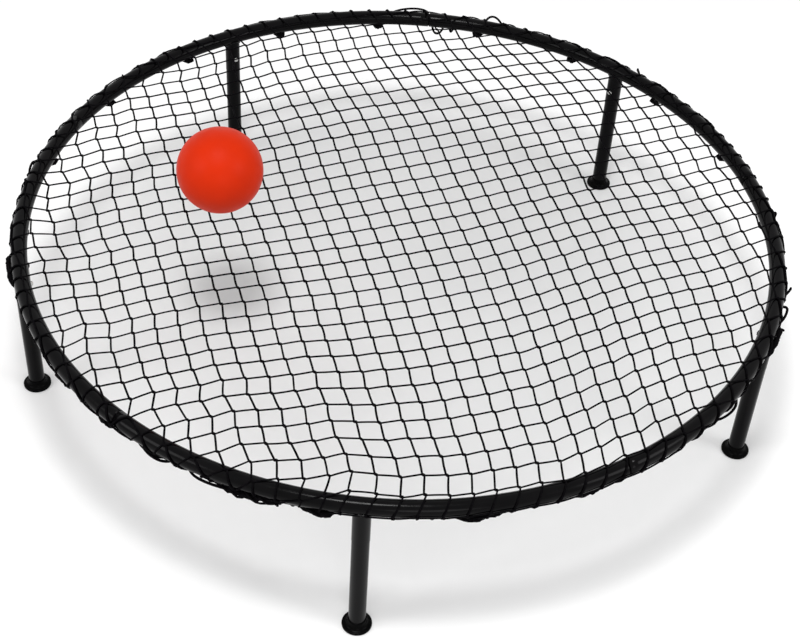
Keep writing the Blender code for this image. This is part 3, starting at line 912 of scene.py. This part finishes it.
def knot_shape():
    """A small lump of twine, drawn in at its waist between the two turns of the knot."""
    bpy.ops.object.select_all(action="DESELECT")
    bpy.ops.mesh.primitive_uv_sphere_add(segments=8, ring_count=6, radius=1, rotation=(0, pi / 2, 0))
    lump = bpy.context.object
    bpy.ops.object.transform_apply()
    bpy.ops.object.mode_set(mode="EDIT")
    bpy.ops.mesh.select_all(action="SELECT")
    bpy.ops.transform.resize(value=KNOT_SIZE, center_override=(0, 0, 0))
    bpy.ops.object.mode_set(mode="OBJECT")
    select_corners(lump, lambda place: abs(place.x) < KNOT_WAIST_REACH)
    bpy.ops.transform.resize(value=(1, KNOT_WAIST, KNOT_WAIST), center_override=(0, 0, 0))
    bpy.ops.object.mode_set(mode="OBJECT")
    return lump


def knots_piece(name, stands):
    """Many knots as one piece. Each stand is a place, and a matrix that turns and scales."""
    lump = knot_shape()
    corners = [vertex.co.copy() for vertex in lump.data.vertices]
    sides = [tuple(face.vertices) for face in lump.data.polygons]
    points = []
    faces = []
    for place, turn in stands:
        first = len(points)
        points.extend(place + turn @ corner for corner in corners)
        faces.extend(tuple(first + corner for corner in side) for side in sides)
    bpy.data.objects.remove(lump)
    mesh = bpy.data.meshes.new(name)
    mesh.from_pydata(points, [], faces)
    knots = bpy.data.objects.new(name, mesh)
    bpy.context.collection.objects.link(knots)
    mesh.shade_smooth()
    return knots


def laid_knots(places):
    """Where and how each knot of the net lies, leaning with the tube that it goes round."""
    stands = []
    for flat in places.values():
        if not on_net(flat):
            continue
        past = max((flat.length - RING_RADIUS) / WRAP_REACH, 0)
        angle = atan2(flat.y, flat.x)
        lean = Matrix.Rotation(angle, 3, "Z") @ Matrix.Rotation(past, 3, "Y")
        turn = lean @ Matrix.Rotation(KNOT_TURN - angle + dice.gauss(0, KNOT_TWIST), 3, "Z")
        stands.append((wrapped(flat), turn * dice.uniform(*KNOT_SIZES)))
    return stands


places = knot_places()
twine = twine_finish("nylon_twine_along", ROW_LAY)
cross_twine = twine_finish("nylon_twine_across", COLUMN_LAY)
ties = []
rows = twine_curve("net_strands_along", laid_strands(places, True, ties), ROW_TWINE)
dress(rows, twine, "twine", "frame", "net")
columns = twine_curve("net_strands_across", laid_strands(places, False, ties), COLUMN_TWINE)
dress(columns, cross_twine, "twine", "frame", "net")
dress(knots_piece("net_knots", laid_knots(places)), twine, "twine", "frame", "net")


# Border cord: a 4 mm cord threaded through the net's edge and hung on every hook. The gathered
# edge of the net winds and knots round it, and a few slack loops of twine stand out of it.
# Angles in the lists are in degrees.
CORD_STEPS = 720
CORD_ANGLES = [2 * pi * i / CORD_STEPS for i in range(CORD_STEPS)]
SWAY_WAVES = 3
SWAY_COUNTS = (9, 40)
GATHERED_TWINES = 9
GATHER_REACH = 0.0023
HOOKED_REACH = 0.0014
GATHER_TURNS = 70
GATHER_WANDER = 2.5
GATHER_SWAY = 0.0005
GATHER_THICKENING = 0.0022
LOOSE_KNOTS = (173.7, 197, 205, 256.3, 259.3, 261.6, 281.5, 283.7, 298, 309, 343.6)
LOOSE_KNOT_SIZE = 1.5
TIE_SIZE = 1.1
HOOKED_TIE_SHARE = 0.4
TIE_LEAN = 0.5
TIE_REACH = 0.6 * CORD_RADIUS
LAID_TWINES = (
    (0, 0, 0.0107),
    (3, 6, 0.0124),
    (10, 6, 0.0124),
    (17, 6, 0.0124),
    (24, 6, 0.0124),
)
LAID_LOWEST = radians(178)
LAID_DRAWN_IN = 0.7
LAID_SWAY = 0.0005
LOOP_TWINE = 0.0016
LOOP_STEPS = 16
END_STEPS = 8
END_CURL = 1.5
LOOPS = (
    (94.2, 8.6, 62, 0.0160, 0.55, 0.7),
    (79.0, 5.8, 62, 0.0190, 0.9, 1.5),
    (88.3, 2.4, 206, 0.0178, 1.0, 0.6),
    (85.8, 0.7, 200, 0.0133, 1.0, 0.6),
    (241.5, 4.5, 140, 0.0142, 1.0, 0.6),
    (249.6, 6.7, 135, 0.0134, 1.0, 0.6),
    (326.2, 6.8, 138, 0.0160, 1.0, 0.6),
    (348.2, 5.4, 98, 0.0148, 1.0, 0.8),
    (174.5, 4.5, 85, 0.0130, 1.0, 0.6),
)
LOOSE_ENDS = (
    (352.3, 1.8, 100, 0.0162),
    (343.8, 1.2, 110, 0.0158),
    (9.6, 1.0, 90, 0.0135),
    (50.5, 1.0, 65, 0.0150),
    (258.5, 1.5, 138, 0.0132),
)


def slow_sway():
    """A random wave along the whole cord, between -1 and 1, that closes on itself."""
    waves = [(dice.uniform(0, 2 * pi), dice.randint(*SWAY_COUNTS)) for _ in range(SWAY_WAVES)]
    return lambda angle: sum(sin(angle * count + start) for start, count in waves) / SWAY_WAVES


def gathered_line(number):
    """A twine of the net's edge that winds round the border cord. Every other one lies further
    out where more net is drawn up, and all are drawn tight on the hooks."""
    phase = dice.uniform(0, 2 * pi)
    sway = slow_sway()
    points = []
    for angle in CORD_ANGLES:
        wrap, reach = cord_wrap(angle)
        loose = sway(angle)
        turn = phase + GATHER_TURNS * angle + GATHER_WANDER * loose
        swell = GATHER_REACH + GATHER_SWAY * loose
        swell += GATHER_THICKENING * thickening(angle) * (number % 2)
        out = HOOKED_REACH + (swell - HOOKED_REACH) * off_hook(angle)
        points.append(round_tube(angle, wrap + out * sin(turn) / reach, reach + out * cos(turn)))
    return points


def laid_line(behind, loose_turn, reach):
    """A twine of the net's last meshes, drawn along the tube. It lies this many degrees back from
    the cord, or fewer where more net is drawn under, and hides in the bundle at the front leg."""
    sway = slow_sway()
    points = []
    for angle in CORD_ANGLES:
        loose = sway(angle)
        cord, cord_reach = cord_wrap(angle)
        spread = 1 - LAID_DRAWN_IN * drawn_under(angle)
        wrap = min(cord, LAID_LOWEST) - radians(behind + loose_turn * loose) * spread
        out = reach + LAID_SWAY * loose
        hidden = near_leg(angle, FRONT_LEG)
        wrap += (cord - wrap) * hidden
        out += (cord_reach + CORD_RADIUS * loose - out) * hidden
        points.append(round_tube(angle, wrap, out))
    return points


def loop_line(middle, width, far_wrap, far_reach, lean, bulge):
    """A slack loop of twine that leaves the bundle, goes round the tube and out from it as far
    as this wrap and reach, and goes back. A lean under 1 brings its top nearer to its start."""
    points = []
    for i in range(LOOP_STEPS + 1):
        share = i / LOOP_STEPS
        angle = radians(middle + width * (share - 0.5))
        wrap, reach = cord_wrap(angle)
        swell = sin(pi * share**lean) ** bulge
        wrap += (radians(far_wrap) - wrap) * swell
        reach += (far_reach - reach) * swell
        points.append(round_tube(angle, wrap, reach))
    return points


def loose_end(middle, width, far_wrap, far_reach):
    """A cut end of twine that stands out of the bundle as far as this wrap and reach."""
    points = []
    for i in range(END_STEPS + 1):
        share = i / END_STEPS
        angle = radians(middle + width * (share - 0.5))
        wrap, reach = cord_wrap(angle)
        wrap += (radians(far_wrap) - wrap) * share
        reach += (far_reach - reach) * share**END_CURL
        points.append(round_tube(angle, wrap, reach))
    return points


def tied_knots():
    """The hitch of each strand on the cord, the larger loose knots of the gathered edge, and the
    knot that stops each loose end from fraying."""
    sizes = []
    for angle in ties:
        share = HOOKED_TIE_SHARE + (1 - HOOKED_TIE_SHARE) * off_hook(angle)
        sizes.append((angle, TIE_SIZE * share))
    sizes += [(radians(angle), LOOSE_KNOT_SIZE) for angle in LOOSE_KNOTS]
    stands = []
    for angle, size in sizes:
        wrap, reach = cord_wrap(angle)
        lie = Matrix.Rotation(angle + dice.gauss(0, TIE_LEAN), 3, "Z")
        roll = Matrix.Rotation(dice.uniform(0, pi), 3, "Y")
        stands.append((round_tube(angle, wrap, reach + TIE_REACH), lie @ roll * size))
    for end in LOOSE_ENDS:
        stands.append((loose_end(*end)[-1], Matrix.Rotation(dice.uniform(0, pi), 3, "Y")))
    return stands


cord_line = [round_tube(angle, *cord_wrap(angle)) for angle in CORD_ANGLES]
border = twine_curve("hung_border_cord", [cord_line], CORD_RADIUS, closed=True)
dress(border, twine, "twine", "frame", "border_cord")
wound_lines = [gathered_line(number) for number in range(GATHERED_TWINES)]
gathered = twine_curve("gathered_net_edge", wound_lines, COLUMN_TWINE, closed=True)
dress(gathered, twine, "twine", "frame", "border_cord")
laid_lines = [laid_line(*laid) for laid in LAID_TWINES]
laid = twine_curve("laid_net_edge", laid_lines, COLUMN_TWINE, closed=True)
dress(laid, twine, "twine", "frame", "border_cord")
loop_lines = [loop_line(*loop) for loop in LOOPS] + [loose_end(*end) for end in LOOSE_ENDS]
loops = twine_curve("slack_loops", loop_lines, LOOP_TWINE)
dress(loops, twine, "twine", "frame", "border_cord")
dress(knots_piece("edge_knots", tied_knots()), twine, "twine", "frame", "border_cord")


# Ball: a thin shell of soft orange rubber, 101.5 mm across, blown up through a small plug valve
# on its far side. Its skin is matt, with a fine pebble from the mould.
ball_low, ball_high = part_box("ball")
BALL_CENTRE = (ball_low + ball_high) / 2
BALL_RADIUS = (ball_high.z - ball_low.z) / 2
SHELL_CUTS = 31
VALVE_RADIUS = 0.0029
VALVE_DEPTH = 0.004
VALVE_SIDES = 32
VALVE_STEP = 0.0003
PIT_EDGE = 0.0015
PIT_LIP = 0.0004
PIT_DISH = 0.0006
PIT_DEPTH = 0.002
BALL_ORANGE = (0.680, 0.027, 0.0015, 1)
BALL_SCUFFED = (0.640, 0.026, 0.0025, 1)
VALVE_DARK = (0.018, 0.016, 0.015, 1)
VALVE_DUSTY = (0.035, 0.030, 0.028, 1)


def ball_rubber():
    finish, shader, place = new_finish("matt_orange_rubber", roughness=0.45, specular=0.08)
    mottle(finish, place, shader.inputs["Base Color"], BALL_ORANGE, BALL_SCUFFED, scale=28)
    mottle(finish, place, shader.inputs["Roughness"], 0.38, 0.5, scale=60)
    grain(finish, place, shader, scale=900, depth=0.00009)
    return finish


def ball_shell():
    """The ball's outer skin, an even sphere rounded out from a divided cube."""
    bpy.ops.object.select_all(action="DESELECT")
    bpy.ops.mesh.primitive_cube_add(size=2)
    shell = bpy.context.object
    shell.name = "ball_shell"
    bpy.ops.object.mode_set(mode="EDIT")
    bpy.ops.mesh.select_all(action="SELECT")
    bpy.ops.mesh.subdivide(number_cuts=SHELL_CUTS)
    bpy.ops.transform.tosphere(value=1.0)
    bpy.ops.object.mode_set(mode="OBJECT")
    for vertex in shell.data.vertices:
        vertex.co = vertex.co.normalized() * BALL_RADIUS
    shell.data.transform(Matrix.Translation(BALL_CENTRE))
    tidy_mesh(shell)
    return shell


def ball_plug():
    """The valve's face, flush in the ball, with the pit that takes the needle."""
    face = BALL_CENTRE + Vector((0, BALL_RADIUS, 0))
    bpy.ops.object.select_all(action="DESELECT")
    bpy.ops.mesh.primitive_cylinder_add(
        vertices=VALVE_SIDES, radius=VALVE_RADIUS, depth=VALVE_DEPTH
    )
    plug = bpy.context.object
    plug.name = "ball_plug"
    select_flat_end(plug)
    bpy.ops.mesh.inset(thickness=VALVE_STEP, depth=VALVE_STEP)
    bpy.ops.mesh.inset(thickness=PIT_EDGE)
    bpy.ops.mesh.inset(thickness=PIT_LIP, depth=-PIT_DISH)
    bpy.ops.mesh.extrude_region_move(TRANSFORM_OT_translate={"value": (0, 0, -PIT_DEPTH)})
    bpy.ops.object.mode_set(mode="OBJECT")
    plug.data.transform(Matrix.Rotation(-pi / 2, 4, "X"))
    plug.data.transform(Matrix.Translation(face - Vector((0, VALVE_DEPTH / 2, 0))))
    tidy_mesh(plug)
    return plug


def valve_rubber():
    finish, shader, place = new_finish("dark_valve_rubber", roughness=0.6, specular=0.4)
    mottle(finish, place, shader.inputs["Base Color"], VALVE_DARK, VALVE_DUSTY, scale=300)
    grain(finish, place, shader, scale=1500, depth=0.00004)
    return finish


dress(ball_shell(), ball_rubber(), "ball", "ball", "ball")
dress(ball_plug(), valve_rubber(), "valve", "ball", "ball_valve")


# Floor and light: a white floor, a soft lamp overhead and towards the front, two large soft
# lamps at the sides and a weak one in front. The floor carries painted light, a glow seen only by
# the camera and the gloss that is nil under the set and rises round it and far out; what they see
# beyond the floor is white.
FLOOR_SIZE = 14
FLOOR_WHITE = (0.90, 0.90, 0.90, 1)
# Painted light on the floor: an emission that is nil under the set, rises to the near strength round
# it and adds the far strength further out.
PAINTED_LIGHT_NEAR = 0.25
PAINTED_LIGHT_FAR = 0.6
PAINTED_LIGHT_MIDDLE = (0.0, 0.03, 0.0)
PAINTED_LIGHT_NEAR_START = 0.41
PAINTED_LIGHT_NEAR_END = 0.58
PAINTED_LIGHT_FAR_START = 1.3
PAINTED_LIGHT_FAR_END = 5.0
ROOM_LIGHT = 0.46
LAMPS = (
    ("overhead_lamp", (-0.16, -0.85, 3.0), 0.7, 36),
    ("left_lamp", (-2.0, -1.2, 1.6), 1.2, 15),
    ("right_lamp", (2.1, -0.8, 1.6), 1.2, 15),
    ("front_lamp", (0.6, -2.5, 0.9), 0.9, 6),
)


def seen_directly(nodes, links):
    """1 where the camera, a reflection or a clear piece sees the surface, and 0 for its light."""
    path = nodes.new("ShaderNodeLightPath")
    glossy = nodes.new("ShaderNodeMath")
    glossy.operation = "MAXIMUM"
    seen = nodes.new("ShaderNodeMath")
    seen.operation = "MAXIMUM"
    links.new(path.outputs["Is Camera Ray"], glossy.inputs[0])
    links.new(path.outputs["Is Glossy Ray"], glossy.inputs[1])
    links.new(glossy.outputs["Value"], seen.inputs[0])
    links.new(path.outputs["Is Transmission Ray"], seen.inputs[1])
    return seen.outputs["Value"]


def floor_with_painted_light():
    finish, shader, place = new_finish("white_floor_painted_light", roughness=0.9, specular=0.0)
    nodes = finish.node_tree.nodes
    links = finish.node_tree.links
    shader.inputs["Base Color"].default_value = FLOOR_WHITE
    away = nodes.new("ShaderNodeVectorMath")
    away.operation = "DISTANCE"
    away.inputs[1].default_value = PAINTED_LIGHT_MIDDLE
    links.new(place, away.inputs[0])
    total = nodes.new("ShaderNodeMath")
    total.operation = "ADD"
    steps = ((PAINTED_LIGHT_NEAR_START, PAINTED_LIGHT_NEAR_END, PAINTED_LIGHT_NEAR), (PAINTED_LIGHT_FAR_START, PAINTED_LIGHT_FAR_END, PAINTED_LIGHT_FAR))
    for (start, end, most), share in zip(steps, total.inputs):
        rise = add_node(finish, "ShaderNodeMapRange", From_Min=start, From_Max=end, To_Max=most)
        rise.interpolation_type = "SMOOTHSTEP"
        links.new(away.outputs["Value"], rise.inputs["Value"])
        links.new(rise.outputs["Result"], share)
    strength = nodes.new("ShaderNodeMath")
    strength.operation = "MULTIPLY"
    links.new(total.outputs["Value"], strength.inputs[0])
    links.new(seen_directly(nodes, links), strength.inputs[1])
    # The painted light: this glow is seen only by the camera and in reflections, and lights nothing.
    painted_light = nodes.new("ShaderNodeEmission")
    links.new(strength.outputs["Value"], painted_light.inputs["Strength"])
    both = nodes.new("ShaderNodeAddShader")
    links.new(shader.outputs["BSDF"], both.inputs[0])
    links.new(painted_light.outputs["Emission"], both.inputs[1])
    links.new(both.outputs["Shader"], nodes["Material Output"].inputs["Surface"])
    return finish


bpy.ops.object.select_all(action="DESELECT")
bpy.ops.mesh.primitive_plane_add(size=FLOOR_SIZE)
floor_plane = bpy.context.object
floor_plane.name = "studio_floor"
floor_plane.data.materials.append(floor_with_painted_light())

for name, place, size, power in LAMPS:
    bpy.ops.object.light_add(type="AREA", location=place)
    lamp = bpy.context.object
    lamp.name = name
    lamp.data.shape = "DISK"
    lamp.data.size = size
    lamp.data.energy = power
    lamp.rotation_euler = Vector(place).to_track_quat("Z", "Y").to_euler()

world = bpy.data.worlds.new("studio_world")
bpy.context.scene.world = world
world.use_nodes = True
room = world.node_tree
sky = room.nodes["Background"]
sky.inputs["Color"].default_value = (1, 1, 1, 1)
sky.inputs["Strength"].default_value = ROOM_LIGHT
white = room.nodes.new("ShaderNodeBackground")
white.inputs["Color"].default_value = (1, 1, 1, 1)
shown = room.nodes.new("ShaderNodeMixShader")
room.links.new(seen_directly(room.nodes, room.links), shown.inputs["Fac"])
room.links.new(sky.outputs["Background"], shown.inputs[1])
room.links.new(white.outputs["Background"], shown.inputs[2])
room.links.new(shown.outputs["Shader"], room.nodes["World Output"].inputs["Surface"])
bpy.context.scene.view_settings.view_transform = "Standard"
